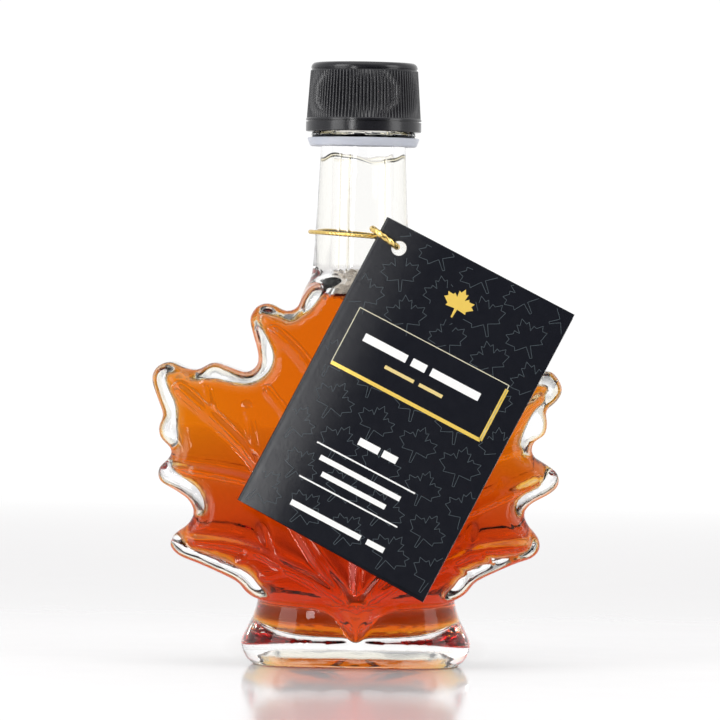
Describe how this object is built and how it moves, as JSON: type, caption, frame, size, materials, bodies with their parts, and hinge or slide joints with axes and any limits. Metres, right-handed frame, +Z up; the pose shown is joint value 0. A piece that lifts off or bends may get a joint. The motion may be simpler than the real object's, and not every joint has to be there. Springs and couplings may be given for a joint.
{
  "type": "maple syrup bottle",
  "caption": "Leaf-shaped clear glass bottle of amber maple syrup with a ribbed black screw cap, a translucent collar and a folded black card tag on a gold neck loop.",
  "frame": {"origin": "centre of the foot's underside, at the height of the surface the bottle stands on", "axes": "+Z up along the neck; the front with the tag faces -Y; +X to the right seen from the front"},
  "size_m": [0.0959, 0.0437, 0.1382],
  "materials": {
    "clear_glass": "polished clear glass",
    "syrup": "clear amber syrup",
    "black_plastic": "satin moulded plastic",
    "milky_plastic": "translucent smooth plastic",
    "gold_cord": "fine gold cord",
    "gold_metal": "bright gold wire",
    "black_card": "satin printed card"
  },
  "bodies": {
    "root": {"bottle": "clear_glass", "syrup": "syrup", "cap": "black_plastic", "collar": "milky_plastic", "neck_loop": "gold_cord", "link": "gold_metal", "tag": "black_card"}
  },
  "joints": []
}
